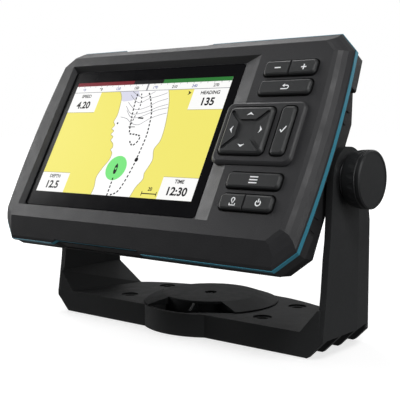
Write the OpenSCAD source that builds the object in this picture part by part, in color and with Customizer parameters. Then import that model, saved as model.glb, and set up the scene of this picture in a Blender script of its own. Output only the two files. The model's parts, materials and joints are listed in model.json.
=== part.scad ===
// Chartplotter display on a tilt and swivel bail mount.
// Z is up, the screen faces -Y, and Z = 0 is the surface that the swivel base stands on.
// The origin is the centre of the swivel base.

/* [Show] */
// Which piece to draw

/* [Head] */
// Half width of the head at mid height
head_hw = 87.5; // [80:0.5:96]
// How far the bowed sides fall back at the corners
side_sag = 3; // [0:0.25:6]
// Top edge of the head above the tilt axis
head_top = 52; // [46:0.5:60]
// Bottom edge of the head below the tilt axis
head_bot = -54; // [-60:0.5:-48]
// Corner cut of the head's outline
corner_cut = 8.5; // [4:0.5:14]
// Front face, measured forward of the tilt axis
face_w = 36; // [32:0.5:42]
// Back of the front bezel, measured forward of the tilt axis
seam_w = 30; // [27:0.5:33]
// Rear wall of the housing, measured forward of the tilt axis
rear_w = -9; // [-14:0.5:-6]
// Half width of the housing between the bracket arms
body_hw = 76; // [70:0.5:76.5]
// Wall thickness of the rear cover
cover_wall = 2.5; // [1.5:0.1:4]

/* [Screen] */
// Centre of the screen across the head
screen_u = -19.4; // [-26:0.1:-14]
// Centre of the screen up the head
screen_v = 0.6; // [-4:0.1:6]
// Cover glass width
glass_wd = 108; // [100:0.5:114]
// Cover glass height
glass_ht = 74.5; // [68:0.5:80]
// Cover glass thickness
glass_th = 1.6; // [0.8:0.1:2.5]
// How far the glass lies below the front face
glass_drop = 2.5; // [1:0.1:4]

/* [Keypad] */
// How far the raised key island stands off the face
island_h = 1.5; // [0.5:0.1:2.5]
// How far the plain keys stand off the face
key_h = 1.5; // [0.8:0.1:2.5]
// Gap between a key and its opening
key_gap = 0.4; // [0.2:0.05:0.8]
// Rounding of the key corners
key_r = 1.9; // [0.8:0.1:3]

/* [Bracket] */
// Outer half width of the bracket arms
arm_x = 80.5; // [79:0.5:84]
// Thickness of the bracket arms
arm_t = 3; // [2.4:0.1:4]
// Top of the bracket's floor plate
floor_z = 11; // [8:0.5:15]
// Front edge of the bracket
brk_front = -28; // [-34:0.5:-24]
// Height of the tilt axis
pivot_z = 74.5; // [70:0.5:84]
// Fore and aft place of the tilt axis
pivot_y = -8; // [-14:0.5:0]
// Tilt of the head at rest, leaning back
tilt_rest = 29; // [0:1:45]
// Radius of the rounded arm top
ear_r = 13.5; // [12:0.5:16]

/* [Knobs] */
// Knob radius
knob_r = 12.4; // [10:0.1:15]
// Knob length
knob_len = 9.6; // [7:0.1:14]
// Radius of the knob's threaded stud
stud_r = 3.95; // [3:0.05:5]

/* [Swivel] */
// Radius of the swivel cap
cap_r = 23.3; // [20:0.1:28]
// Top of the swivel cap
cap_z = 15; // [13.5:0.1:18]
// Radius of the swivel spindle
spindle_r = 16; // [12:0.5:18]

/* [Hidden] */
eps = 0.01;
head_vm = (head_top + head_bot) / 2;
head_hh = (head_top - head_bot) / 2;
glass_top = face_w - glass_drop;
glass_back = glass_top - glass_th;
gl = screen_u - glass_wd / 2;
gr = screen_u + glass_wd / 2;
gb = screen_v - glass_ht / 2;
gt = screen_v + glass_ht / 2;
// Key outlines as [left, bottom, right, top] across and up the head
k_minus = [48.4, 29, 60.85, 36];
k_plus = [61.35, 29, 73.8, 36];
k_back = [48.8, 19.6, 74, 26.6];
k_menu = [47.8, -23.3, 73.6, -16.4];
k_mark = [47.6, -33, 59.35, -26];
k_power = [59.85, -33, 73, -26];
k_dpad = [39, -8.9, 61.4, 13.1];
k_enter = [64.9, -8.8, 71.5, 13.3];
pads = [[54.6, 32.5], [67.6, 32.5], [61.4, 23.1], [60.7, -19.8], [53.5, -29.5], [66.4, -29.5],
  [68.2, 2.2], [50.2, 9.6], [50.2, -5.4], [42.7, 2.1], [57.7, 2.1]];
plate_t = 3;
screw_u = 79.2;
screw_v = [-40.5, 38.6];
arm_in = arm_x - arm_t;
washer_x = arm_x + 0.35;
knob_x = washer_x + 1.25;
bulge_r = 33.5;
hole_x = 41.2;
hole_y = 14.6;
sink_z = 7.4;

module in_head() {
  translate([0, pivot_y, pivot_z])
    rotate([-tilt_rest, 0, 0])
      children();
}

// Extrudes a shape drawn across and up the head from one distance forward of the tilt axis to another
module slab(w0, w1) {
  rotate([90, 0, 0])
    translate([0, 0, w0])
      linear_extrude(w1 - w0)
        children();
}

module rod(u, v, w0, w1, r, fn = 48) {
  translate([u, -w0, v])
    rotate([90, 0, 0])
      cylinder(r = r, h = w1 - w0, $fn = fn);
}

module rrect(b, r, g = 0) {
  x0 = b[0] - g;
  y0 = b[1] - g;
  x1 = b[2] + g;
  y1 = b[3] + g;
  union() {
    translate([x0 + r, y0])
      square([x1 - x0 - 2 * r, y1 - y0]);
    translate([x0, y0 + r])
      square([x1 - x0, y1 - y0 - 2 * r]);
    for (x = [x0 + r, x1 - r])
      for (y = [y0 + r, y1 - r])
        translate([x, y])
          circle(r = r, $fn = 32);
  }
}

function bow(v, hw) = hw - side_sag * pow((v - head_vm) / head_hh, 2);

// The head's outline with bowed sides and cut corners
function outline(l, r, t, b, c) = concat(
  [[bow(b + c, r) - c, b]],
  [for (i = [0:10]) let(v = b + c + i * (t - b - 2 * c) / 10) [bow(v, r), v]],
  [[bow(t - c, r) - c, t], [c - bow(t - c, l), t]],
  [for (i = [0:10]) let(v = t - c - i * (t - b - 2 * c) / 10) [-bow(v, l), v]],
  [[c - bow(b + c, l), b]]);

function rim(d) = outline(head_hw - d, head_hw - d, head_top - d, head_bot + d, corner_cut - d * 0.4);

// Shallow steps in the middle of the head's top and bottom edges
module edge_steps(w0, w1) {
  slab(w0, w1) {
    translate([screen_u, head_top])
      polygon([[-29.5, 1], [-26, -1.5], [26, -1.5], [29.5, 1]]);
    translate([screen_u, head_bot])
      polygon([[-29.5, -1], [-26, 1.5], [26, 1.5], [29.5, -1]]);
  }
}

// ---------- Head ----------

module bezel_layer(w, l, r, t, b, c) {
  slab(w, w + 0.02)
    polygon(outline(l, r, t, b, c));
}

module front_bezel() {
  color("#2c2d30")
    in_head()
      difference() {
        union() {
          difference() {
            hull() {
              bezel_layer(seam_w, head_hw, head_hw, head_top, head_bot, corner_cut);
              bezel_layer(seam_w + 1, head_hw - 0.3, head_hw - 0.2, head_top - 0.9, head_bot + 1.1,
                corner_cut - 0.3);
              bezel_layer(face_w - 3, head_hw - 1.4, head_hw - 1.3, 48.6, -49.4, corner_cut - 1.5);
              bezel_layer(face_w - 1.6, head_hw - 2.4, head_hw - 3, 47.2, -46.9, corner_cut - 2.2);
              bezel_layer(face_w - 0.6, head_hw - 3.4, head_hw - 4.9, 46.1, -45.2, corner_cut - 2.9);
              bezel_layer(face_w - 0.02, head_hw - 4.3, head_hw - 6.8, 45.4, -44.2, corner_cut - 3.4);
            }
            hull() {
              slab(glass_top - 0.1, glass_top)
                polygon([[gl - 0.4, gb - 0.4], [gr + 0.4, gb - 0.4], [gr + 0.4, gt + 0.4],
                  [gl - 0.4, gt + 0.4]]);
              slab(face_w + 0.05, face_w + 0.1)
                polygon([[gl - 1.6, gb - 1.4], [gr + 9.2, gb - 1.4], [gr + 9.2, gt + 2.6],
                  [gl - 1.6, gt + 2.6]]);
            }
          }
          hull() {
            slab(seam_w + 2.5, face_w + island_h - 1)
              rrect([gr + 1.1, -12.8, 75.6, 16.2], 3.6);
            slab(face_w + island_h - 0.4, face_w + island_h - 0.38)
              rrect([gr + 1.7, -12.1, 75.1, 15.7], 3.2);
            slab(face_w + island_h - 0.02, face_w + island_h)
              rrect([gr + 2.5, -11.4, 74.4, 15], 2.6);
          }
          for (s = [-1, 1])
            for (v = screw_v)
              rod(s * screw_u, v, seam_w - 1.95, seam_w + 0.2, 2.3);
        }
        slab(glass_back - 0.3, glass_top + 0.05)
          rrect([gl - 0.3, gb - 0.3, gr + 0.3, gt + 0.3], 1.8);
        slab(seam_w - 2, glass_back)
          rrect([gl + 3.5, gb + 4.5, gr - 2.5, gt - 5], 1);
        slab(seam_w - 2, seam_w + 0.6)
          rrect([gl - 0.6, gb + 2, gr + 2.6, gt - 2.4], 1.5);
        slab(seam_w - 2, face_w - 2.6)
          rrect([45.4, -36.2, 76.4, 39], 2);
        slab(seam_w - 2, face_w - 2.6)
          rrect([36.6, -11, 46, 15.6], 1);
        slab(seam_w, face_w + 3)
          rrect([k_minus[0], k_minus[1], k_plus[2], k_plus[3]], key_r + key_gap, key_gap);
        slab(seam_w, face_w + 3)
          rrect(k_back, key_r + key_gap, key_gap);
        slab(seam_w, face_w + 3)
          rrect(k_menu, key_r + key_gap, key_gap);
        slab(seam_w, face_w + 3)
          rrect([k_mark[0], k_mark[1], k_power[2], k_power[3]], key_r + key_gap, key_gap);
        slab(seam_w, face_w + 3)
          rrect(k_dpad, key_r + 1, 0.55);
        slab(seam_w, face_w + 3)
          rrect(k_enter, key_r + key_gap, key_gap);
        for (s = [-1, 1])
          for (v = screw_v)
            rod(s * screw_u, v, seam_w - 3, seam_w + 3.2, 1.3);
        edge_steps(seam_w - 3, face_w + 1);
      }
}

module accent_trim() {
  color("#2f7f96")
    in_head()
      difference() {
        slab(seam_w - 1.97, seam_w - 0.03)
          polygon(rim(-0.25));
        slab(seam_w - 3, seam_w + 1)
          polygon(rim(2.6));
        translate([0, 0, 0.25])
          edge_steps(seam_w - 3, seam_w + 1);
      }
}

module housing_gasket() {
  color("#161616")
    in_head()
      difference() {
        slab(seam_w - 1.95, seam_w - 0.05)
          polygon(rim(2.75));
        slab(seam_w - 3, seam_w + 1)
          polygon(rim(4.1));
      }
}

// Side profile of the rear cover's body, given as a flat layer at a distance forward of the tilt axis
module body_layer(w, hw, t, b, c) {
  slab(w, w + 0.02)
    polygon([[c - hw, b], [hw - c, b], [hw, b + c], [hw, t - c],
      [hw - c, t], [c - hw, t], [-hw, t - c], [-hw, b + c]]);
}

module rear_cover() {
  color("#242527")
    in_head()
      difference() {
        union() {
          difference() {
            union() {
              slab(seam_w - 7.4, seam_w - 2.03)
                polygon(rim(0.35));
              slab(seam_w - 8.2, seam_w - 7.38)
                polygon(rim(1.1));
              hull() {
                body_layer(seam_w - 6, body_hw, 48, -51, 9);
                body_layer(9, body_hw, 46, -49.5, 9);
                body_layer(2.4, body_hw - 0.3, 32.6, -46.5, 8);
                body_layer(rear_w + 1.4, body_hw - 9, 12.6, -40, 8);
                body_layer(rear_w, body_hw - 10.6, 11, -38.5, 7.5);
              }
            }
            hull() {
              body_layer(seam_w - 1.9, body_hw - cover_wall, 45, -48, 7.5);
              body_layer(11, body_hw - 2.7, 41, -46.8, 7.5);
              body_layer(5, body_hw - 3, 28, -43.6, 7);
              body_layer(rear_w + cover_wall, body_hw - 12.4, 9.5, -36.4, 6.5);
            }
          }
          for (s = [-1, 1])
            rotate([0, s * 90, 0])
              translate([0, 0, body_hw - 15])
                cylinder(r = 9.5, h = 15, $fn = 64);
          for (s = [-1, 1])
            for (v = [-29, -23, 21, 27])
              translate([s * (body_hw - 1.6) - 2.1, -21, v])
                cube([4.2, 13, 2.2]);
          rod(-30, -18, rear_w + 0.2, rear_w + cover_wall + 2, 12);
          for (x = [-12, 0, 12])
            translate([x + 14, -rear_w - 0.3, -34])
              cube([3, 1.3, 34]);
        }
        for (s = [-1, 1])
          rotate([0, s * 90, 0])
            translate([0, 0, body_hw - 12.1])
              cylinder(r = 5.55, h = 13, $fn = 48);
        for (s = [-1, 1])
          translate([s * (head_hw - 2) - 7.6, -(seam_w - 3.4), -36])
            cube([15.2, 9, 64.4]);
        rod(-30, -18, rear_w - 3, rear_w + 12, 8.05, 64);
        rod(44, -2, rear_w - 1, rear_w + 12, 3.05);
        for (s = [-1, 1])
          for (v = screw_v) {
            rod(s * screw_u, v, seam_w - 12, seam_w, 1.55);
            rod(s * screw_u, v, seam_w - 12, seam_w - 6.24, 2.8);
            rod(s * screw_u, v, seam_w - 3.2, seam_w, 2.6);
          }
        edge_steps(seam_w - 8, seam_w + 1);
      }
}

module cover_glass() {
  color("#0b0c0e")
    in_head()
      slab(glass_back, glass_top)
        rrect([gl, gb, gr, gt], 1.5);
}

module glass_gasket() {
  color("#0a0a0a")
    in_head()
      difference() {
        slab(glass_back - 0.28, glass_back - 0.02)
          rrect([gl, gb, gr, gt], 1.5);
        slab(glass_back - 1, glass_back + 1)
          rrect([gl + 3.6, gb + 4.6, gr - 2.6, gt - 5.1], 1);
      }
}

module lcd_panel() {
  color("#30333a")
    in_head()
      slab(seam_w - 2.6, seam_w + 0.4)
        rrect([gl, gb + 2.6, gr + 2, gt - 3], 0.8);
}

module backlight() {
  color("#c9ccd0")
    in_head()
      slab(seam_w - 5.4, seam_w - 2.7)
        rrect([gl + 1, gb + 3, gr + 1.4, gt - 3.4], 1);
}

module keypad_membrane() {
  color("#202124")
    in_head()
      union() {
        slab(seam_w - 1.1, seam_w - 0.05)
          rrect([46, -35.6, 75.8, 38.4], 2);
        slab(seam_w - 1.1, seam_w - 0.05)
          rrect([37.4, -10.2, 50, 14.8], 1);
        for (p = pads)
          rod(p[0], p[1], seam_w - 0.1, seam_w + 0.3, 2.2);
      }
}

module dome_switches() {
  color("#c8c8c4")
    in_head()
      for (p = pads)
        rod(p[0], p[1], seam_w - 1.58, seam_w - 1.15, 2);
}

module keypad_board() {
  color("#1f5a36")
    in_head()
      slab(seam_w - 3.1, seam_w - 1.6)
        rrect([37.4, -35, 72.8, 38], 1.5);
}

module main_board() {
  color("#1f5a36")
    in_head()
      union() {
        slab(21.6, 23.2)
          rrect([-66, -42, 64, 34], 2);
        slab(19.8, 21.61)
          rrect([-40, -6, -22, 12], 0.6);
        slab(20.2, 21.61)
          rrect([-12, -4, 2, 10], 0.6);
        slab(20.4, 21.61)
          rrect([-12, -24, 8, -14], 0.6);
      }
}

module gps_antenna() {
  color("#b9a07a")
    in_head()
      union() {
        slab(18.4, 21.55)
          rrect([22, 12, 40, 30], 1);
        rod(31, 21, 17.9, 18.5, 5);
      }
}

module buzzer() {
  color("#151515")
    in_head()
      difference() {
        rod(40, -26, 15.6, 21.55, 6);
        rod(40, -26, 15, 16.8, 1.2);
      }
}

module ribbon_cable() {
  color("#c77a2e")
    in_head()
      union() {
        slab(seam_w - 4.5, seam_w - 3.15)
          rrect([66.6, -8, 71, 6], 0.4);
        slab(22.2, seam_w - 4.45)
          polygon([[70.7, -8], [71, -8], [71, 6], [70.7, 6]]);
        slab(22.2, 22.5)
          polygon([[64.1, -8], [71, -8], [71, 6], [64.1, 6]]);
      }
}

module socket_body() {
  color("#1a1a1b")
    in_head()
      difference() {
        union() {
          rod(-30, -18, rear_w - 1, rear_w + 5, 8, 64);
          rod(-30, -18, rear_w - 6, rear_w - 0.9, 8.4, 64);
          rod(-30, -18, rear_w - 1.35, rear_w - 0.62, 11, 64);
        }
        rod(-30, -18, rear_w - 7, rear_w, 6.4, 64);
        translate([-31, -rear_w - 0.01, -25.4])
          cube([2, 6.1, 2]);
        for (a = [0:45:315])
          rod(-30 + 3.6 * cos(a), -18 + 3.6 * sin(a), rear_w - 1, rear_w + 6, 0.56, 20);
      }
}

module socket_pins() {
  color("#c9a44a")
    in_head()
      for (a = [0:45:315])
        rod(-30 + 3.6 * cos(a), -18 + 3.6 * sin(a), rear_w - 4.5, rear_w + 7, 0.5, 20);
}

module socket_seal() {
  color("#101010")
    in_head()
      difference() {
        rod(-30, -18, rear_w - 0.58, rear_w - 0.04, 10.4, 64);
        rod(-30, -18, rear_w - 2, rear_w + 2, 8.3, 64);
      }
}

module breather_vent() {
  color("#3a3b3d")
    in_head()
      union() {
        rod(44, -2, rear_w - 1, rear_w - 0.05, 5);
        rod(44, -2, rear_w - 0.1, rear_w + 3.5, 3);
      }
}

module housing_screws() {
  color("#8d9095")
    in_head()
      for (s = [-1, 1])
        for (v = screw_v)
          difference() {
            union() {
              rod(s * screw_u, v, seam_w - 7.8, seam_w - 6.24, 2.6);
              rod(s * screw_u, v, seam_w - 6.3, seam_w + 3, 1.25);
            }
            translate([s * screw_u - 0.5, -(seam_w - 7), v - 1.9])
              cube([1, 1.2, 3.8]);
          }
}

module insert_at(s) {
  color("#b98f45")
    in_head()
      rotate([0, s * 90, 0])
        difference() {
          union() {
            translate([0, 0, body_hw - 12])
              cylinder(r = 5.5, h = 12, $fn = 48);
          }
          translate([0, 0, body_hw - 13])
            cylinder(r = stud_r + 0.05, h = 14, $fn = 48);
        }
}

module insert_left() {
  insert_at(-1);
}

module insert_right() {
  insert_at(1);
}

module tilt_pad_at(s) {
  color("#171717")
    in_head()
      rotate([0, s * 90, 0])
        difference() {
          translate([0, 0, body_hw + 0.03])
            cylinder(r = 9.5, h = arm_in - body_hw - 0.38, $fn = 64);
          translate([0, 0, body_hw - 1])
            cylinder(r = 5.6, h = 4, $fn = 48);
          for (a = [0:30:330])
            rotate([0, 0, a])
              translate([6.8, -0.4, arm_in - 0.75])
                cube([3.2, 0.8, 1]);
        }
}

module tilt_pad_left() {
  tilt_pad_at(-1);
}

module tilt_pad_right() {
  tilt_pad_at(1);
}

// ---------- Keys ----------

// A key's outline: keys that stand in a pair are square on the side where they meet
module key_shape(k, r, g, sq) {
  rrect(k, r, g);
  if (sq > 0)
    translate([k[2] + g * 0.3 - 3 * r, k[1] - g])
      square([3 * r, k[3] - k[1] + 2 * g]);
  if (sq < 0)
    translate([k[0] - g * 0.3, k[1] - g])
      square([3 * r, k[3] - k[1] + 2 * g]);
}

// A key with eased top edges, a retaining flange behind the bezel and an actuator stub
module key_cap(k, h, fl, pt, sq = 0) {
  color("#26272a")
    in_head()
      union() {
        hull() {
          slab(face_w - 3.2, face_w + h - 0.9)
            key_shape(k, key_r, 0, sq);
          slab(face_w + h - 0.35, face_w + h - 0.34)
            key_shape(k, key_r - 0.3, -0.35, sq);
          slab(face_w + h - 0.01, face_w + h)
            key_shape(k, key_r - 0.8, -0.95, sq);
        }
        slab(face_w - 3.9, face_w - 2.95)
          rrect([k[0] - fl[0], k[1] - 1, k[2] + fl[1], k[3] + 1], 0.8);
        rod(pt[0], pt[1], face_w - 4.6, face_w - 3.8, 1.5);
      }
}

module key_minus() {
  key_cap(k_minus, key_h, [1, 0], pads[0], 1);
}

module key_plus() {
  key_cap(k_plus, key_h, [0, 1], pads[1], -1);
}

module key_back() {
  key_cap(k_back, key_h, [1, 1], pads[2]);
}

module key_menu() {
  key_cap(k_menu, key_h, [1, 1], pads[3]);
}

module key_mark() {
  key_cap(k_mark, key_h, [0.8, 0], pads[4], 1);
}

module key_power() {
  key_cap(k_power, key_h, [0, 1], pads[5], -1);
}

module key_enter() {
  key_cap(k_enter, island_h + 1, [0.5, 1], pads[6]);
}

module dpad() {
  du = (k_dpad[0] + k_dpad[2]) / 2;
  dv = (k_dpad[1] + k_dpad[3]) / 2;
  top = face_w + island_h + 1.4;
  color("#26272a")
    in_head()
      difference() {
        union() {
          hull() {
            slab(face_w - 2, top - 1.2)
              rrect(k_dpad, key_r + 0.4);
            slab(top - 0.5, top - 0.49)
              rrect(k_dpad, key_r, -0.4);
            slab(top - 0.01, top)
              rrect(k_dpad, key_r - 0.4, -1.2);
          }
        }
        slab(top - 0.7, top + 1)
          translate([du, dv]) {
            rrect([-4.5, -4.8, 4.5, 4.8], 1.6);
            for (a = [43, 137, 223, 317])
              rotate(a) {
                translate([3, -0.85])
                  square([9, 1.7]);
                translate([12, 0])
                  circle(r = 0.85, $fn = 32);
              }
          }
        rod(du, dv, face_w - 3, face_w - 0.6, 3.3);
      }
}

module dpad_boot() {
  du = (k_dpad[0] + k_dpad[2]) / 2;
  dv = (k_dpad[1] + k_dpad[3]) / 2;
  color("#333336")
    in_head()
      union() {
        rod(du, dv, seam_w + 2.4, face_w - 1, 2.8);
        rod(du, dv, seam_w + 0.7, seam_w + 2.5, 2);
        // Cross pins that the pad rocks on
        translate([du - 4.5, -seam_w - 1, dv])
          rotate([0, 90, 0])
            cylinder(r = 0.6, h = 9, $fn = 32);
        translate([du, -seam_w - 1, dv - 4.5])
          cylinder(r = 0.6, h = 9, $fn = 32);
      }
}

// ---------- Bracket ----------

// The arms seen from the side
module arm_side() {
  union() {
    polygon([[brk_front, 0], [14.5, 0], [14.5, 55], [13.2, 60], [9.5, 67],
      [pivot_y + ear_r * cos(-12), pivot_z + ear_r * sin(-12)], [pivot_y, pivot_z],
      [pivot_y - ear_r * cos(-3), pivot_z + ear_r * sin(-3)],
      [-22.9, 50], [-24.2, 41.3], [-25.4, 28], [brk_front, 10]]);
    translate([pivot_y, pivot_z])
      circle(r = ear_r, $fn = 96);
  }
}

// An arm seen from above: it folds inwards behind the tilt axis
module arm_plan(s) {
  polygon([[s * arm_x, brk_front], [s * arm_x, 1], [s * (arm_x - 1.9), 14.5],
    [s * (arm_in - 1.1), 14.5], [s * arm_in, 4], [s * arm_in, brk_front]]);
}

module bracket_plan(d) {
  x = arm_x - d;
  union() {
    polygon([[-x, brk_front + d], [x, brk_front + d], [x, 1], [x - 1.9, 14.5 - d], [59.5 - d, 14.5 - d],
      [55.5 - d, 17.6 - d], [49 - d, 21.3 - d], [42, 24 - d], [36, 26 - d], [28, 28 - d], [16, 29.4 - d],
      [-16, 29.4 - d], [-28, 28 - d], [-36, 26 - d], [-42, 24 - d], [d - 49, 21.3 - d],
      [d - 55.5, 17.6 - d], [d - 59.5, 14.5 - d], [1.9 - x, 14.5 - d], [-x, 1]]);
    circle(r = bulge_r - d, $fn = 128);
  }
}

// The bracket's outer outline seen from the front, with its cut lower corners
module bracket_front_profile() {
  x = arm_x;
  polygon([[8 - x, 0], [x - 8, 0], [x, 8], [x, 92], [-x, 92], [-x, 8]]);
}

// Sloping fillet between the floor and an arm, wider at the rear
module flare(s) {
  hull() {
    translate([0, brk_front + 0.05, 0])
      rotate([90, 0, 0])
        linear_extrude(0.02)
          polygon([[s * 69.1, floor_z - 2], [s * 69.1, floor_z - 0.2], [s * (arm_in + 0.2), floor_z + 10.1],
            [s * (arm_in + 1), floor_z + 10.1], [s * (arm_in + 1), floor_z - 2]]);
    translate([0, 14.3, 0])
      rotate([90, 0, 0])
        linear_extrude(0.02)
          polygon([[s * 60, floor_z - 2], [s * 60, floor_z - 0.2], [s * (arm_in - 0.8), floor_z + 10.9],
            [s * (arm_in + 0.2), floor_z + 10.9], [s * (arm_in + 0.2), floor_z - 2]]);
  }
}

// Sunk pocket in front of the cap, seen from above
module front_pocket() {
  intersection() {
    circle(r = 31.6, $fn = 128);
    polygon([[-9, -19], [-15.6, -31], [0, -40], [8, -31.6], [13.8, -26], [28.6, -15.4], [20, -8]]);
  }
}

module bail_bracket() {
  color("#2a2b2d")
    difference() {
      intersection() {
        rotate([90, 0, 0])
          translate([0, 0, -60])
            linear_extrude(120)
              bracket_front_profile();
        union() {
          translate([0, 0, 0.4])
            linear_extrude(floor_z - 0.4)
              bracket_plan(0);
          for (s = [-1, 1])
            intersection() {
              rotate([90, 0, 90])
                translate([0, 0, -100])
                  linear_extrude(200)
                    arm_side();
              translate([0, 0, 0.4])
                linear_extrude(100)
                  arm_plan(s);
            }
          for (s = [-1, 1])
            flare(s);
        }
      }
      // Hollow under the floor plate, with three bays between ribs at each end
      translate([0, 0, -1])
        linear_extrude(floor_z - plate_t + 1)
          difference() {
            intersection() {
              bracket_plan(3);
              translate([-50, -40])
                square([100, 80]);
            }
            circle(r = 31.5, $fn = 128);
          }
      for (s = [-1, 1])
        for (y = [[-25, -15.4], [-12.8, -2.2], [0.4, 11.5]])
          translate([0, y[1], 0])
            rotate([90, 0, 0])
              linear_extrude(y[1] - y[0])
                polygon([[s * 49, -1], [s * 82, -1], [s * 82, 7.6], [s * 77.2, 9.4],
                  [s * 77.2, floor_z + 5.2], [s * 69.4, floor_z - plate_t], [s * 49, floor_z - plate_t]]);
      translate([0, 0, -1])
        cylinder(r = 31.4, h = 4.7, $fn = 128);
      // Spindle bore, and the round seat and front pocket that the cap sits in
      translate([0, 0, -1])
        cylinder(r = spindle_r + 0.06, h = 20, $fn = 96);
      translate([0, 0, sink_z])
        cylinder(r = cap_r + 0.4, h = 8, $fn = 128);
      translate([0, 0, sink_z])
        linear_extrude(8)
          front_pocket();
      // Slot beside the cap
      translate([0, 0, floor_z - 5])
        linear_extrude(8)
          polygon([[-27.8, -13.1], [-35.4, 6.5], [-36.8, 5.9], [-29.2, -13.7]]);
      // Screw holes with sunk seats
      for (sx = [-1, 1])
        for (sy = [-1, 1])
          translate([sx * hole_x, sy * hole_y, 0]) {
            translate([0, 0, -1])
              cylinder(r = 2.6, h = 20, $fn = 32);
            translate([0, 0, floor_z - 0.8])
              cylinder(r = 4.3, h = 5, $fn = 48);
          }
      // Tilt bores
      translate([0, pivot_y, pivot_z])
        rotate([0, 90, 0])
          translate([0, 0, -100])
            cylinder(r = stud_r + 0.08, h = 200, $fn = 48);
    }
}

// ---------- Knobs ----------

module in_pivot(s) {
  translate([0, pivot_y, pivot_z])
    rotate([0, s * 90, 0])
      children();
}

module knob_at(s) {
  color("#222325")
    in_pivot(s)
      difference() {
        translate([0, 0, knob_x])
          rotate_extrude($fn = 120)
            polygon([[4.2, 0], [10.4, 0], [11.2, 0.5], [11.7, 1.5], [12, 2.8], [knob_r - 0.15, 4.2],
              [knob_r, 5.6], [knob_r, 7], [knob_r - 0.35, 7.25], [knob_r - 0.35, 7.7], [knob_r, 7.95],
              [knob_r, knob_len - 0.6], [knob_r - 0.5, knob_len], [knob_r - 1.4, knob_len],
              [knob_r - 1.4, knob_len - 0.9], [4.2, knob_len - 0.9]]);
        for (a = [0:20:340])
          rotate([0, 0, a])
            translate([knob_r + 3.4, 0, knob_x + 2.2])
              cylinder(r = 3.7, h = 4.4, $fn = 32);
      }
}

module knob_face_at(s) {
  color("#2a2b2d")
    in_pivot(s)
      translate([0, 0, knob_x + knob_len - 0.85])
        cylinder(r = knob_r - 1.45, h = 0.7, $fn = 96);
}

module stud_at(s) {
  color("#9a9ca0")
    in_pivot(s)
      union() {
        translate([0, 0, 66.5])
          cylinder(r = stud_r, h = knob_x - 66.5 + knob_len - 0.95, $fn = 48);
      }
}

module washer_at(s) {
  color("#b4b6b9")
    in_pivot(s)
      difference() {
        translate([0, 0, washer_x])
          cylinder(r = 9, h = 1.2, $fn = 64);
        translate([0, 0, washer_x - 1])
          cylinder(r = stud_r + 0.05, h = 4, $fn = 48);
      }
}

module knob_left() {
  knob_at(-1);
}

module knob_right() {
  knob_at(1);
}

module knob_left_face() {
  knob_face_at(-1);
}

module knob_right_face() {
  knob_face_at(1);
}

module stud_left() {
  stud_at(-1);
}

module stud_right() {
  stud_at(1);
}

module knob_left_washer() {
  washer_at(-1);
}

module knob_right_washer() {
  washer_at(1);
}

// ---------- Swivel ----------

module swivel_base() {
  color("#28292b")
    difference() {
      union() {
        cylinder(r = 29.5, h = 3, $fn = 128);
        cylinder(r = spindle_r, h = sink_z + 0.35, $fn = 96);
      }
      for (a = [30, 150, 270])
        rotate([0, 0, a])
          translate([25, 0, -1]) {
            cylinder(r = 2.1, h = 6, $fn = 32);
            translate([0, 0, 2.6])
              cylinder(r1 = 2.1, r2 = 3.6, h = 1.5, $fn = 32);
          }
      translate([0, 0, 1.5])
        cylinder(r = 2.05, h = 20, $fn = 32);
      translate([0, 0, -1])
        difference() {
          cylinder(r = 13, h = 5.4, $fn = 64);
          translate([0, 0, -1])
            cylinder(r = 5, h = 8, $fn = 48);
        }
    }
}

module swivel_bearing() {
  color("#d8d4c6")
    difference() {
      translate([0, 0, 3.03])
        cylinder(r = 20.5, h = 0.35, $fn = 96);
      translate([0, 0, 2])
        cylinder(r = spindle_r + 0.1, h = 4, $fn = 96);
    }
}

// Round cap with a conical skirt that is cut away at the front
module swivel_cap() {
  z0 = floor_z + 0.4;
  z1 = sink_z + 0.4;
  color("#2d2e30")
    difference() {
      union() {
        rotate_extrude($fn = 128)
          polygon([[0, z1], [cap_r, z1], [cap_r, cap_z - 0.4], [cap_r - 0.4, cap_z], [0, cap_z]]);
        difference() {
          rotate_extrude($fn = 128)
            polygon([[cap_r - 3, z0], [33.1, z0], [33.1, z0 + 0.3], [cap_r, cap_z], [cap_r - 3, cap_z]]);
          translate([0, 0, z0 - 1])
            linear_extrude(8)
              polygon([[-1, -2], [-9, -23.6], [-16.3, -31], [0, -50], [50, -30],
                [28.2, -17.4], [17.5, -14.7]]);
          translate([0, 0, z0 - 1])
            linear_extrude(8)
              polygon([[-37, 12.4], [-19, -34.2], [-50, -46], [-60, 12.4]]);
        }
        rotate([0, 0, -71])
          translate([0, 0.6, 0])
            rotate([90, 0, 0])
              linear_extrude(1.2)
                polygon([[cap_r - 1, z0], [29.4, z0], [29.4, z0 + 0.4],
                  [cap_r + 0.6, cap_z - 1], [cap_r - 1, cap_z - 1]]);
      }
      rotate([0, 0, -53])
        translate([0, 0, z1 + 1])
          linear_extrude(cap_z - z1 - 2.2)
            polygon([[cap_r - 5, -4.6], [cap_r + 4, -6.6], [cap_r + 4, 6.6], [cap_r - 5, 4.6]]);
      translate([0, 0, z1 - 1])
        cylinder(r = 2.05, h = 9, $fn = 32);
      translate([0, 0, z0 + 1])
        cylinder(r = 3.1, h = 9, $fn = 48);
    }
}

module swivel_screw() {
  z0 = floor_z + 0.4;
  color("#8f9296")
    difference() {
      union() {
        translate([0, 0, 3])
          cylinder(r = 1.98, h = z0 - 1.5, $fn = 32);
        translate([0, 0, z0 + 1.03])
          cylinder(r = 2.9, h = 1.6, $fn = 48);
      }
      translate([0, 0, z0 + 1.6])
        cylinder(r = 1.4, h = 3, $fn = 6);
    }
}

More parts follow.
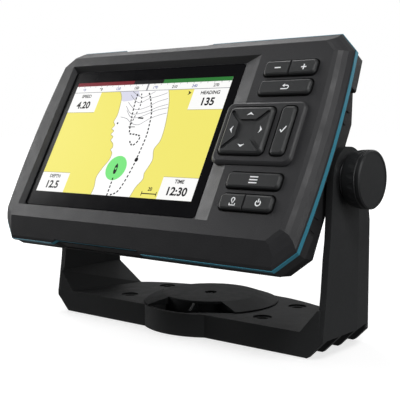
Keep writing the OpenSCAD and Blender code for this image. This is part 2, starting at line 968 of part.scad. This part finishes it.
front_bezel();
accent_trim();
housing_gasket();
rear_cover();
cover_glass();
glass_gasket();
lcd_panel();
backlight();
keypad_membrane();
dome_switches();
keypad_board();
main_board();
gps_antenna();
buzzer();
ribbon_cable();
socket_body();
socket_pins();
socket_seal();
breather_vent();
housing_screws();
insert_left();
insert_right();
tilt_pad_left();
tilt_pad_right();
key_minus();
key_plus();
key_back();
key_enter();
key_menu();
key_mark();
key_power();
dpad();
dpad_boot();
bail_bracket();
knob_left();
knob_left_face();
stud_left();
knob_left_washer();
knob_right();
knob_right_face();
stud_right();
knob_right_washer();
swivel_base();
swivel_bearing();
swivel_cap();
swivel_screw();
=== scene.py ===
import json
import math

import bpy
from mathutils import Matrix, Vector


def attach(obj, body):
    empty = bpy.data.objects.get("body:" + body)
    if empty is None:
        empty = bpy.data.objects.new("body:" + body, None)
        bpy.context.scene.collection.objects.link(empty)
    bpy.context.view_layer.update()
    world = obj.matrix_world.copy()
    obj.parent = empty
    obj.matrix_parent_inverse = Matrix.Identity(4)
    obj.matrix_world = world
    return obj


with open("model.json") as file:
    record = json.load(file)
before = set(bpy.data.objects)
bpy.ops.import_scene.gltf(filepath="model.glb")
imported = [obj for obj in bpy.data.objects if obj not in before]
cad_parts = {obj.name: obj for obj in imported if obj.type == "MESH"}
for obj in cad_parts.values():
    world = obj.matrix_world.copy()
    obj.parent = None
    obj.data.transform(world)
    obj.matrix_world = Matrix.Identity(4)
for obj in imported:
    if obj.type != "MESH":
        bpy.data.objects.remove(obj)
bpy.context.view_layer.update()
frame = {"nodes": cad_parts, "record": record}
NODES = frame["nodes"]
scene = bpy.context.scene

# The head's own directions: across (U), up its face (V) and forward (W) of the tilt axis
TILT = math.radians(29)
PIVOT = Vector((0, -0.008, 0.0745))
U = Vector((1, 0, 0))
V = Vector((0, math.sin(TILT), math.cos(TILT)))
W = Vector((0, -math.cos(TILT), math.sin(TILT)))
MM = 0.001

# Distances forward of the tilt axis and heights above the bezel's face, in mm
FACE = 36.0
GLASS = 33.5
ISLAND_H = 1.5
KEY_H = 1.5
ENTER_H = 2.5
PAD_H = 2.9
SKIN = 0.02  # how far a printed shape stands off its surface
PRINT = 0.03  # how thick a printed symbol is

# The lit picture, in mm round its own middle
SCREEN = (-19.4, 0.6)
LEFT, BOTTOM, RIGHT, TOP = -49.5, -30, 49.5, 31
TAPE_LOW, TAPE_HIGH = 25.4, 28.9


def head(u, v, w):
    """A point given in mm across, up and forward of the tilt axis."""
    return PIVOT + (U * u + V * v + W * w) * MM


# ---------- Materials ----------

DRIFT_SCALE = 38.0  # slow changes of colour
PATCH_SCALE = 160.0  # patches of more and less gloss
GRAIN_DEPTH = 0.0002  # metres


def node_of(tree, kind, **inputs):
    """A new node with its inputs set."""
    n = tree.nodes.new(kind)
    for k, x in inputs.items():
        n.inputs[k.replace("_", " ")].default_value = x
    return n


def span(node, low, high, out_low, out_high):
    """Sets a Map Range node's two ranges."""
    for socket, x in (("From Min", low), ("From Max", high), ("To Min", out_low), ("To Max", out_high)):
        node.inputs[socket].default_value = x


def surface(name, colour, rough=0.5, metal=0.0, spec=0.5, grain=0.0, grain_scale=2500.0, mottle=0.06,
            rough_var=0.08, painted_glow=0.0, brushed=None):
    """A Principled surface with a fine moulded grain, slow colour drift and uneven gloss."""
    m = bpy.data.materials.new(name)
    m.use_nodes = True
    t = m.node_tree
    b = t.nodes["Principled BSDF"]
    b.inputs["Metallic"].default_value = metal
    b.inputs["Specular IOR Level"].default_value = spec
    co = t.nodes.new("ShaderNodeTexCoord")
    drift = node_of(t, "ShaderNodeTexNoise", Scale=DRIFT_SCALE, Detail=4.0, Roughness=0.55)
    t.links.new(co.outputs["Object"], drift.inputs["Vector"])
    ramp = t.nodes.new("ShaderNodeMapRange")
    span(ramp, 0.3, 0.7, 0.0, 1.0)
    t.links.new(drift.outputs["Fac"], ramp.inputs["Value"])
    mix = t.nodes.new("ShaderNodeMix")
    mix.data_type = "RGBA"
    mix.inputs["A"].default_value = (*[c * (1 - mottle) for c in colour], 1)
    mix.inputs["B"].default_value = (*[min(1, c * (1 + mottle)) for c in colour], 1)
    t.links.new(ramp.outputs["Result"], mix.inputs["Factor"])
    t.links.new(mix.outputs["Result"], b.inputs["Base Color"])
    patches = node_of(t, "ShaderNodeTexNoise", Scale=PATCH_SCALE, Detail=3.0, Roughness=0.6)
    t.links.new(co.outputs["Object"], patches.inputs["Vector"])
    gloss = t.nodes.new("ShaderNodeMapRange")
    span(gloss, 0.25, 0.75, max(0.02, rough - rough_var), min(1, rough + rough_var))
    t.links.new(patches.outputs["Fac"], gloss.inputs["Value"])
    t.links.new(gloss.outputs["Result"], b.inputs["Roughness"])
    if grain:
        bumps = node_of(t, "ShaderNodeTexNoise", Scale=grain_scale, Detail=2.0, Roughness=0.5)
        if brushed:
            mp = t.nodes.new("ShaderNodeMapping")
            mp.inputs["Scale"].default_value = brushed
            t.links.new(co.outputs["Object"], mp.inputs["Vector"])
            t.links.new(mp.outputs["Vector"], bumps.inputs["Vector"])
        else:
            t.links.new(co.outputs["Object"], bumps.inputs["Vector"])
        bump = t.nodes.new("ShaderNodeBump")
        bump.inputs["Strength"].default_value = grain
        bump.inputs["Distance"].default_value = GRAIN_DEPTH
        t.links.new(bumps.outputs["Fac"], bump.inputs["Height"])
        t.links.new(bump.outputs["Normal"], b.inputs["Normal"])
    # A painted glow: the surface gives out light of its own colour, though it is no lamp.
    if painted_glow:
        b.inputs["Emission Color"].default_value = (*colour, 1)
        b.inputs["Emission Strength"].default_value = painted_glow
    return m


M = {
    "bezel": surface("bezel_plastic", (0.025, 0.025, 0.027),
                     rough=0.46, spec=0.34, grain=0.32, grain_scale=2600),
    "accent": surface("accent_plastic", (0.035, 0.235, 0.330), rough=0.34, grain=0.08),
    "cover": surface("cover_plastic", (0.016, 0.016, 0.017),
                     rough=0.52, grain=0.36, grain_scale=2400),
    "cover_glass": surface("black_glass", (0.006, 0.006, 0.007),
                           rough=0.16, rough_var=0.03, mottle=0.02, spec=0.08),
    "gasket": surface("gasket_rubber", (0.014, 0.014, 0.014), rough=0.7, grain=0.2),
    "lcd": surface("lcd_film", (0.04, 0.043, 0.05), rough=0.2),
    "backlight": surface("backlight_sheet", (0.7, 0.71, 0.73),
                         rough=0.3, metal=0.9, grain=0.1, brushed=(1, 1, 30)),
    "keys": surface("key_rubber", (0.018, 0.019, 0.020),
                    rough=0.50, spec=0.40, grain=0.25, grain_scale=3000),
    "membrane": surface("membrane_silicone", (0.02, 0.02, 0.022), rough=0.6, grain=0.1),
    "domes": surface("dome_steel", (0.6, 0.6, 0.58), rough=0.25, metal=1.0),
    "circuit_board": surface("solder_mask", (0.015, 0.12, 0.045), rough=0.3, grain=0.1),
    "antenna": surface("patch_ceramic", (0.5, 0.4, 0.25), rough=0.55, grain=0.1),
    "buzzer": surface("buzzer_case", (0.012, 0.012, 0.012), rough=0.3),
    "flex": surface("flex_film", (0.5, 0.2, 0.04), rough=0.3),
    "socket": surface("socket_plastic", (0.013, 0.013, 0.014), rough=0.36, grain=0.12),
    "pins": surface("pin_gold", (0.8, 0.58, 0.22), rough=0.22, metal=1.0),
    "screw_steel": surface("screw_steel", (0.52, 0.53, 0.55), rough=0.3, metal=1.0, grain=0.06),
    "insert_brass": surface("insert_brass", (0.66, 0.46, 0.17), rough=0.3, metal=1.0),
    "bracket": surface("bracket_plastic", (0.028, 0.029, 0.030),
                       rough=0.52, spec=0.16, grain=0.42, grain_scale=2100),
    "knob": surface("knob_plastic", (0.016, 0.017, 0.018), rough=0.44, grain=0.22),
    "stud_steel": surface("stud_steel", (0.5, 0.51, 0.53), rough=0.28, metal=1.0),
    "base": surface("base_plastic", (0.014, 0.015, 0.016),
                    rough=0.52, spec=0.14, grain=0.38, grain_scale=2100),
    "bearing": surface("bearing_acetal", (0.68, 0.65, 0.58), rough=0.4),
}
SLOT = {s["node"]: s["material_slot"] for s in frame["record"]["subparts"]}
for name, obj in NODES.items():
    obj.data.materials.clear()
    obj.data.materials.append(M[SLOT[name]])

UNLIT = 0.04  # how much of its colour the display shows by daylight alone


def lit(name, colour, strength=1.0):
    """A lit patch of the display: nearly all of its light comes from behind."""
    m = surface(name, [c * UNLIT for c in colour], rough=0.32, mottle=0.03, rough_var=0.03, spec=0.10)
    b = m.node_tree.nodes["Principled BSDF"]
    b.inputs["Emission Color"].default_value = (*colour, 1)
    b.inputs["Emission Strength"].default_value = strength
    return m


# ---------- Flat pieces on the head ----------


def link(obj, body):
    """Adds a piece that moves with one of the bodies."""
    scene.collection.objects.link(obj)
    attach(obj, body)
    return obj


def flat(name, loops, w, mat, body="head", origin=SCREEN, thick=0.0):
    """One or more flat shapes, each a list of (across, up) points in mm round an origin on the face."""
    verts, faces = [], []
    for loop in loops:
        k = len(verts)
        n = len(loop)
        verts += [head(origin[0] + x, origin[1] + y, w) for x, y in loop]
        faces.append(list(range(k, k + n)))
        if thick:
            verts += [head(origin[0] + x, origin[1] + y, w - thick) for x, y in loop]
            for i in range(n):
                nxt = (i + 1) % n
                faces.append([k + i, k + n + i, k + n + nxt, k + nxt])
            faces.append([k + n + i for i in reversed(range(n))])
    me = bpy.data.meshes.new(name)
    me.from_pydata(verts, [], faces)
    me.update()
    me.materials.append(mat)
    return link(bpy.data.objects.new(name, me), body)


def box(x0, y0, x1, y1):
    return [(x0, y0), (x1, y0), (x1, y1), (x0, y1)]


def polar(x, y, r, a):
    """The point at a distance r and an angle a from (x, y)."""
    return x + r * math.cos(a), y + r * math.sin(a)


def disc(x, y, r, n=40):
    return [polar(x, y, r, 2 * math.pi * i / n) for i in range(n)]


def ring(x, y, r, t, a0=0.0, a1=360.0, n=36):
    """A ring or arc as quads."""
    out = []
    for i in range(n):
        a, b = [math.radians(a0 + (a1 - a0) * (i + k) / n) for k in (0, 1)]
        out.append([polar(x, y, r - t, a), polar(x, y, r, a), polar(x, y, r, b), polar(x, y, r - t, b)])
    return out


def stroke(points, t):
    """A line of width t through points: a quad for each piece, a little longer than it so that they join."""
    out = []
    for (x0, y0), (x1, y1) in zip(points, points[1:]):
        d = math.hypot(x1 - x0, y1 - y0) or 1
        nx, ny = -(y1 - y0) / d * t / 2, (x1 - x0) / d * t / 2
        ex, ey = (x1 - x0) / d * t / 4, (y1 - y0) / d * t / 4
        out.append([(x0 + nx - ex, y0 + ny - ey), (x0 - nx - ex, y0 - ny - ey),
                    (x1 - nx + ex, y1 - ny + ey), (x1 + nx + ex, y1 + ny + ey)])
    return out


def smooth(points, steps=8):
    """A Catmull-Rom curve through points, with steps to each piece."""
    p = [points[0]] + points + [points[-1]]
    out = []
    for p0, p1, p2, p3 in zip(p, p[1:], p[2:], p[3:]):
        for k in range(steps):
            s = k / steps
            out.append(tuple(0.5 * (2 * b + (c - a) * s + (2 * a - 5 * b + 4 * c - d) * s * s
                                    + (3 * b - a - 3 * c + d) * s ** 3)
                             for a, b, c, d in zip(p0, p1, p2, p3)))
    out.append(points[-1])
    return out


def dashes(points, on, off, t):
    """A dashed curve of width t: dashes of length on, with gaps of length off."""
    out, pos = [], 0.0
    line = smooth(points, 24)
    for (x0, y0), (x1, y1) in zip(line, line[1:]):
        d = math.hypot(x1 - x0, y1 - y0)
        pos += d
        if pos >= on + off:
            pos = 0.0
            ex, ey = (x1 - x0) / d * on / 2, (y1 - y0) / d * on / 2
            out += stroke([(x1 - ex, y1 - ey), (x1 + ex, y1 + ey)], t)
    return out


def words(name, text, x, y, size, w, mat, body="head", origin=SCREEN, bold=0.0):
    """Plain numerals or a plain word, centred at a point in mm, as a mesh."""
    cu = bpy.data.curves.new(name + "_curve", "FONT")
    cu.body = text
    cu.size = size
    cu.align_x = "CENTER"
    cu.align_y = "CENTER"
    cu.offset = bold
    tmp = bpy.data.objects.new(name + "_tmp", cu)
    scene.collection.objects.link(tmp)
    me = bpy.data.meshes.new_from_object(tmp.evaluated_get(bpy.context.evaluated_depsgraph_get()))
    bpy.data.objects.remove(tmp)
    me.name = name
    for vtx in me.vertices:
        vtx.co = head(origin[0] + x + vtx.co.x, origin[1] + y + vtx.co.y, w)
    me.materials.clear()
    me.materials.append(mat)
    return link(bpy.data.objects.new(name, me), body)


# ---------- Picture on the screen ----------

LCD = {
    "water": lit("lit_water", (1.0, 1.0, 1.0), 0.97),
    "land": lit("lit_land", (0.88, 0.80, 0.165), 0.98),
    "shoal": lit("lit_shoal", (0.72, 0.72, 0.84), 0.95),
    "box": lit("lit_box", (0.97, 0.97, 0.96), 0.97),
    "ink": lit("lit_ink", (0.010, 0.010, 0.012), 0.6),
    "grey": lit("lit_grey", (0.26, 0.26, 0.29), 0.9),
    "edge": lit("lit_edge", (0.48, 0.44, 0.20), 0.9),
    "red": lit("lit_red", (0.20, 0.010, 0.020), 0.9),
    "green": lit("lit_green", (0.03, 0.20, 0.04), 0.9),
    "zone": lit("lit_zone", (0.20, 0.80, 0.22), 0.97),
    "blue": lit("lit_blue", (0.20, 0.22, 0.46), 0.9),
}
# Each layer of the picture, in mm forward of the tilt axis, stands clear of the one behind it
WATER_W = GLASS + SKIN
SHOAL_W = WATER_W + 0.012
LAND_W = WATER_W + 0.015
CONTOUR_W = WATER_W + 0.018
SHORE_W = WATER_W + 0.02
ZONE_W = WATER_W + 0.025
MARK_W = WATER_W + 0.03
EDGE_W = WATER_W + 0.035
TEXT_W = WATER_W + 0.04

flat("screen_water", [box(LEFT, BOTTOM, RIGHT, TOP)], WATER_W, LCD["water"])

# Both shores, drawn from the tape down to the bottom of the picture
west = smooth([(-17.5, 25.4), (-15, 22), (-13.8, 17), (-13.2, 12), (-13.9, 8.5), (-12.4, 6.5),
               (-13.4, 4.5), (-11.6, 3.4), (-12.6, 1.6), (-10.6, 0.2), (-11.2, -1.6), (-9, -3.4),
               (-8.2, -5.4), (-9.0, -6.6), (-7.2, -8.5), (-7.4, -12), (-9.6, -16), (-11.5, -21),
               (-10.5, -26), (-10.8, -30)], 5)
east = smooth([(14, 25.4), (16.5, 20), (18, 15), (19.5, 8), (20.2, 2), (20, -2), (18.2, -6), (19.6, -11),
               (18.6, -15), (17.6, -18), (18, -21), (15.5, -25), (14, -30)])
flat("screen_land_west", [[(LEFT, TAPE_LOW), (LEFT, BOTTOM)] + west[::-1]], LAND_W, LCD["land"])
flat("screen_land_east", [[(RIGHT, BOTTOM), (RIGHT, TAPE_LOW)] + east], LAND_W, LCD["land"])
flat("screen_shore", stroke(west, 0.35) + stroke(east, 0.35), SHORE_W, LCD["edge"])
flat("screen_shoal", [[(-16.8, 25.2), (-5, 25.2), (-3, 22.5), (-7, 20), (-12.5, 19.5), (-14, 20)]], SHOAL_W,
     LCD["shoal"])

contours = []
for pts in ([(-9, 23), (-5, 20), (-1, 18.6), (3, 20.5), (9, 22), (14, 23.6)],
            [(-9, 19), (-4, 15.5), (0, 15), (5, 16.5), (10, 19), (15.5, 20.5)],
            [(-9.5, 17), (-5, 13), (0, 12.6), (6, 14), (11, 16), (16.8, 17.5)],
            [(-8, 14.6), (-4, 11), (1, 10.6), (7, 12.8), (12, 14.6), (17.6, 15.6)],
            [(-10.5, 11), (-6, 10), (-2, 7.6), (3, 6.8), (8, 9.6), (13, 11.6), (17.8, 12.8)],
            [(-8.6, 25), (-4, 22.6), (0, 21.6), (6, 24.6)]):
    contours += stroke(smooth(pts, 6), 0.28)
flat("screen_contours", contours, CONTOUR_W, LCD["grey"])

outer_track = [(1.5, 25), (5, 20), (8.5, 13), (10, 6), (10.6, 0), (10, -8), (9, -16), (7, -24), (5, -28),
               (1.5, -29.6)]
inner_track = [(-5, 25), (-4.6, 19), (-3.4, 12), (-2, 6), (-0.5, 2.2), (3, 1.6), (6.6, 0.6), (6, -2.5),
               (3.6, -4), (1, -1.6)]
flat("screen_track", dashes(outer_track, 0.9, 1.0, 0.75) + dashes(inner_track, 0.9, 1.0, 0.75)
     + dashes([(-3, 25), (-0.5, 18), (-1.5, 10), (-2.4, 4)], 0.8, 1.0, 0.6)
     + dashes([(-0.7, -19.6), (-0.5, -24), (-0.4, -29.8)], 0.9, 1.0, 0.75), MARK_W, LCD["ink"])
flat("screen_marks", stroke([(-3, 5.6), (1.2, 5.6)], 0.4) + stroke([(1.4, 10.4), (4.4, 10.2)], 0.8)
     + [disc(-11, 7.6, 0.55, 12)] + [disc(9.8, -11.4, 1.1, 16)], MARK_W, LCD["ink"])

flat("screen_zone", [disc(-1, -16, 6.3)], ZONE_W, LCD["zone"])
hull = [(-1, -13.4), (-0.1, -15), (0, -17.6), (-0.4, -19), (-1.6, -19), (-2, -17.6), (-1.9, -15)]
flat("screen_boat", [hull], EDGE_W, LCD["ink"])
flat("screen_boat_deck", [disc(-1, -16.3, 0.55, 16)], TEXT_W, LCD["zone"])

# The compass tape along the top
flat("screen_tape", [box(LEFT, TAPE_LOW, RIGHT, TAPE_HIGH)], MARK_W, LCD["box"])
flat("screen_tape_edge", [box(LEFT, TAPE_LOW - 0.3, RIGHT, TAPE_LOW), box(-0.5, TAPE_LOW, 0.5, TAPE_HIGH)],
     EDGE_W, LCD["grey"])
flat("screen_port_bar", [box(LEFT, TAPE_HIGH, -10, TOP)], MARK_W, LCD["red"])
flat("screen_mid_bar", [box(-10, TAPE_HIGH, 9, TOP)], MARK_W, LCD["ink"])
flat("screen_starboard_bar", [box(9, TAPE_HIGH, RIGHT, TOP)], MARK_W, LCD["green"])
ticks = [box(x - 0.12, TAPE_HIGH - 0.8, x + 0.12, TAPE_HIGH) for x in range(-48, 50, 4)]
flat("screen_ticks", ticks, TEXT_W, LCD["grey"])
for k, x in enumerate((-43.5, -31.5, -19.5, -7.2, 5, 17, 29, 41.5)):
    words("screen_tape_%d" % k, str(60 + 30 * k), x, 26.8, 2.1, TEXT_W, LCD["ink" if k % 2 else "blue"],
          bold=0.06)

# The data boxes in the corners, with a line along the side that faces the chart
for k, (x0, y0, x1, y1, label, value) in enumerate((
        (LEFT, 13.8, -30.2, 25.1, "SPEED", "4.20"), (29.6, 14.4, RIGHT, 25.1, "HEADING", "135"),
        (LEFT, BOTTOM, -30.2, -19.6, "DEPTH", "12.5"), (29.8, BOTTOM, RIGHT, -19.2, "TIME", "12:30"))):
    side = y1 if y0 < 0 else y0
    flat("screen_box_%d" % k, [box(x0, y0, x1, y1)], MARK_W, LCD["box"])
    flat("screen_box_line_%d" % k, [box(x0, side - 0.15, x1, side + 0.1)], EDGE_W, LCD["edge"])
    cx = (x0 + x1) / 2
    words("screen_label_%d" % k, label, cx, y1 - 2.1, 2.5, TEXT_W, LCD["ink"], bold=0.07)
    words("screen_value_%d" % k, value, cx, y0 + (y1 - y0) * 0.36, 5.4, TEXT_W, LCD["ink"], bold=0.18)

scale_ends = [line for x in (20.2, 28.8) for line in stroke([(x, -28.8), (x, -26.8)], 0.4)]
flat("screen_scale", stroke([(20.2, -27.8), (28.8, -27.8)], 0.5) + scale_ends, MARK_W, LCD["ink"])
words("screen_scale_text", "20", 24.4, -25.6, 2.4, MARK_W, LCD["ink"], bold=0.07)
flat("screen_north", [[(26.4, 24.4), (28.6, 23.2), (26.6, 22), (27.1, 23.2)]], MARK_W, LCD["ink"])

# ---------- Symbols on the keys ----------

# White printed symbols. They also give out a faint light of their own at strength 0.12, a painted glow,
# since the keys are no lamp.
ICON = surface("icon_print_painted_glow", (0.80, 0.81, 0.82), rough=0.55, mottle=0.02, grain=0.05, painted_glow=0.12)
KEY_TOP = FACE + KEY_H + SKIN
ENTER_TOP = FACE + ENTER_H + SKIN
PAD_TOP = FACE + PAD_H + SKIN
PAD_MIDDLE = (50.5, 2.1)
ARROW_OUT = 7.4  # from the middle of the pad to each arrow


def icon(name, loops, at, body, w=KEY_TOP, size=1.0):
    """A printed symbol on a key, drawn round its own middle."""
    flat(name, [[(x * size, y * size) for x, y in loop] for loop in loops], w, ICON, body, at, PRINT)


icon("icon_minus", [box(-1.5, -0.28, 1.5, 0.28)], (55.4, 32.3), "key_minus")
icon("icon_plus", [box(-1.5, -0.32, 1.5, 0.32), box(-0.32, 0.32, 0.32, 1.5), box(-0.32, -1.5, 0.32, -0.32)],
     (68.2, 32.1), "key_plus", size=0.85)
back_tip = [(-0.4, 2.3), (-2.0, 1.2), (-0.4, 0.1)]
icon("icon_back", stroke([(-2.6, -1.0), (1.2, -1.0)], 0.62) + ring(1.2, 0.1, 1.41, 0.62, -90, 90, 14)
     + stroke([(1.2, 1.2), (-0.4, 1.2)], 0.62) + [back_tip], (62.1, 22.6), "key_back", size=0.72)
icon("icon_menu", [box(-2.3, y - 0.30, 2.3, y + 0.30) for y in (-1.5, 0, 1.5)], (61.1, -19.8), "key_menu",
     size=0.86)
pin_sides = [[(-1.02, 0.45), (-0.25, 0.2), (0, -1.5)], [(1.02, 0.45), (0, -1.5), (0.25, 0.2)]]
icon("icon_mark", ring(0, 1.1, 1.25, 0.55, -50, 230, 18) + pin_sides
     + stroke([(-1.7, -1.1), (-1.7, -2.1), (1.7, -2.1), (1.7, -1.1)], 0.5), (54.5, -29.6), "key_mark",
     size=0.78)
icon("icon_power", ring(0, -0.1, 1.6, 0.55, 120, 420, 24) + [box(-0.28, 0.2, 0.28, 2.1)], (66.7, -29.6),
     "key_power", size=0.86)
icon("icon_check", stroke([(-1.6, -0.2), (-0.5, -1.6), (1.7, 1.9)], 0.75), (68.3, 2.4), "key_enter",
     ENTER_TOP, 0.72)
for k, a in enumerate((90, 0, 270, 180)):
    c, s = math.cos(math.radians(a)), math.sin(math.radians(a))
    arrow = [(-0.75, -1.8), (0.75, 0), (-0.75, 1.8), (-0.25, 0)]
    turned = [(ARROW_OUT * c + x * c - y * s, ARROW_OUT * s + x * s + y * c) for x, y in arrow]
    icon("icon_arrow_%d" % k, [turned], PAD_MIDDLE, "dpad", PAD_TOP)

# ---------- Painted shadow lines round the keys ---

# Near-black flat rings laid on the bezel round each key: painted shade standing in for the shadow down in
# the gaps round the keys, over the dark membrane that shows there.
GAP_SHADE_PAINT = surface("painted_gap_shade_shadow", (0.003, 0.003, 0.003), rough=0.85, mottle=0.02, spec=0.05)
CLEAR = 0.3  # from the key to its line
LINE_W = 0.42


def rounded(b, r, grow, n=6):
    """A rounded rectangle [left, bottom, right, top] grown outwards, from its right side round."""
    x0, y0, x1, y1 = b[0] - grow, b[1] - grow, b[2] + grow, b[3] + grow
    r += grow
    out = []
    for cx, cy, a0 in ((x1 - r, y1 - r, 0), (x0 + r, y1 - r, 90), (x0 + r, y0 + r, 180),
                       (x1 - r, y0 + r, 270)):
        out += [polar(cx, cy, r, math.radians(a0 + 90 * i / n)) for i in range(n + 1)]
    return out


# Each ring is a flat near-black sheet on the bezel or island face: painted shade where the key's gap is in
# shadow.
ISLAND = FACE + ISLAND_H
for name, b, r, w in (("plus_minus", (48.4, 29, 73.8, 36), 1.9, FACE),
                      ("back", (48.8, 19.6, 74, 26.6), 1.9, FACE),
                      ("menu", (47.8, -23.3, 73.6, -16.4), 1.9, FACE),
                      ("mark_power", (47.6, -33, 73, -26), 1.9, FACE),
                      ("dpad", (39, -8.9, 61.4, 13.1), 2.3, ISLAND),
                      ("enter", (64.9, -8.8, 71.5, 13.3), 1.9, ISLAND)):
    near, far = rounded(b, r, CLEAR), rounded(b, r, CLEAR + LINE_W)
    quads = [list(q) for q in zip(near, far, far[1:] + far[:1], near[1:] + near[:1])]
    flat("painted_gap_shade_" + name, quads, w + SKIN, GAP_SHADE_PAINT, "head", (0, 0))

# ---------- Stage, light and camera ----------

# The floor glows towards white away from the object, so that it fades into the backdrop
floor_mat = bpy.data.materials.new("floor_white")
floor_mat.use_nodes = True
ft = floor_mat.node_tree
fb = ft.nodes["Principled BSDF"]
fb.inputs["Base Color"].default_value = (0.42, 0.42, 0.42, 1)
fb.inputs["Roughness"].default_value = 0.8
fb.inputs["Specular IOR Level"].default_value = 0.1
fb.inputs["Emission Color"].default_value = (1, 1, 1, 1)
place = ft.nodes.new("ShaderNodeTexCoord")
distance = ft.nodes.new("ShaderNodeVectorMath")
distance.operation = "LENGTH"
glow = ft.nodes.new("ShaderNodeMapRange")
span(glow, 0.12, 0.60, 0.72, 1.05)
ft.links.new(place.outputs["Object"], distance.inputs[0])
ft.links.new(distance.outputs["Value"], glow.inputs["Value"])
ft.links.new(glow.outputs["Result"], fb.inputs["Emission Strength"])
bpy.ops.mesh.primitive_plane_add(size=12, location=(0, 0, -0.0002))
floor = bpy.context.object
floor.name = "floor"
floor.data.materials.append(floor_mat)
floor.visible_diffuse = False
floor.visible_glossy = False

# A white backdrop to the camera, and a dim even light to everything else
BACKDROP, FILL = 1.0, 0.14
world = bpy.data.worlds.new("studio")
scene.world = world
world.use_nodes = True
wt = world.node_tree
seen = wt.nodes["Background"]
seen.inputs["Color"].default_value = (1, 1, 1, 1)
seen.inputs["Strength"].default_value = BACKDROP
dim = wt.nodes.new("ShaderNodeBackground")
dim.inputs["Color"].default_value = (1, 1, 1, 1)
dim.inputs["Strength"].default_value = FILL
path = wt.nodes.new("ShaderNodeLightPath")
pick = wt.nodes.new("ShaderNodeMixShader")
wt.links.new(path.outputs["Is Camera Ray"], pick.inputs["Fac"])
wt.links.new(dim.outputs["Background"], pick.inputs[1])
wt.links.new(seen.outputs["Background"], pick.inputs[2])
wt.links.new(pick.outputs["Shader"], wt.nodes["World Output"].inputs["Surface"])
scene.view_settings.view_transform = "Standard"


def aimed(name, data, at, towards):
    """Adds a light or camera at a point, looking along a direction."""
    o = bpy.data.objects.new(name, data)
    o.location = at
    o.rotation_mode = "QUATERNION"
    o.rotation_quaternion = towards.to_track_quat("-Z", "Y")
    scene.collection.objects.link(o)
    return o


def area(name, at, aim, size, power, size_y=None):
    """A soft rectangular light; metres and watts."""
    li = bpy.data.lights.new(name, "AREA")
    li.energy = power
    li.size = size
    if size_y:
        li.shape = "RECTANGLE"
        li.size_y = size_y
    aimed(name, li, at, Vector(aim) - Vector(at))


area("key_left", (-0.85, -0.20, 0.36), (-0.05, -0.03, 0.07), 0.45, 4.8, 0.6)
area("top", (-0.50, 0.30, 0.85), (0, 0, 0.05), 0.5, 4)
area("shoulder", (0.42, -0.50, 0.80), (0.05, -0.03, 0.08), 0.30, 4.4)
area("rim_right", (0.90, -0.15, 0.22), (0.05, 0, 0.06), 0.35, 3.2, 0.7)
area("back", (0.08, 1.00, 0.45), (0, 0, 0.07), 0.6, 2.4)

# The photograph's viewpoint: azimuth from -Y towards +X, and height above the horizon
AZIMUTH, ELEVATION = math.radians(38.99), math.radians(4.99)
CAMERA_AT = (0.2529, -0.3208, 0.0962)
LENS = 75.4  # mm, on a 36 mm sensor
cam_data = bpy.data.cameras.new("camera")
cam_data.sensor_width = 36
cam_data.lens = LENS
cam_data.clip_start = 0.01
cam_data.clip_end = 50
outward = Vector((math.sin(AZIMUTH) * math.cos(ELEVATION), -math.cos(AZIMUTH) * math.cos(ELEVATION),
                  math.sin(ELEVATION)))
scene.camera = aimed("camera", cam_data, CAMERA_AT, -outward)
